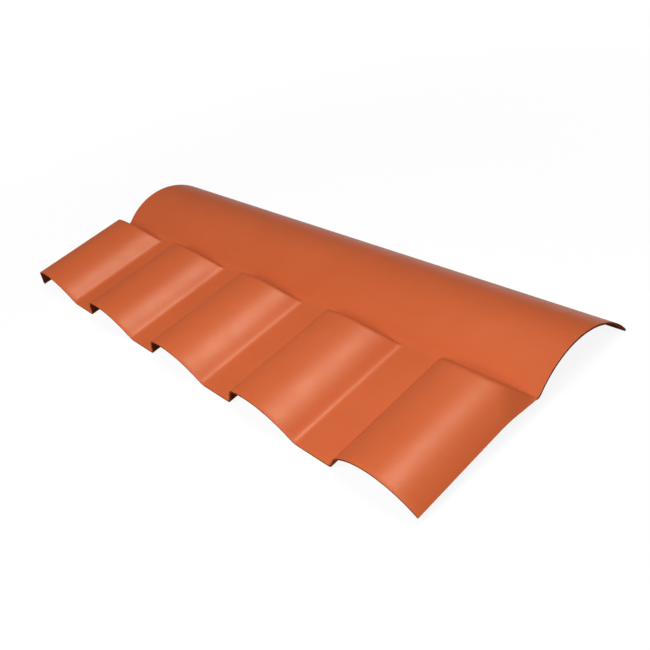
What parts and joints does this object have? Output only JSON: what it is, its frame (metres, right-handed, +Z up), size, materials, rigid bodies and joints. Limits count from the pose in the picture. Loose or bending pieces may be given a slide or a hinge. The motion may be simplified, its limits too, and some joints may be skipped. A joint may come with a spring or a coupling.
{
  "type": "ridge tile",
  "caption": "Moulded half ridge tile: a waved flange with asymmetric tile barrels and flat pans, joined at a valley to a plain round roll that caps the top of a roof.",
  "frame": {"origin": "middle of the base as the piece lies on a level floor, on its front edge and the roll's free edge", "axes": "+X along the ridge towards the side lap, +Y from the flange's front edge to the roll, +Z up"},
  "size_m": [0.88, 0.3532, 0.0544],
  "materials": {
    "terracotta_plastic": "satin moulded plastic, terracotta orange"
  },
  "bodies": {
    "root": {"ridge_tile": "terracotta_plastic"}
  },
  "joints": []
}
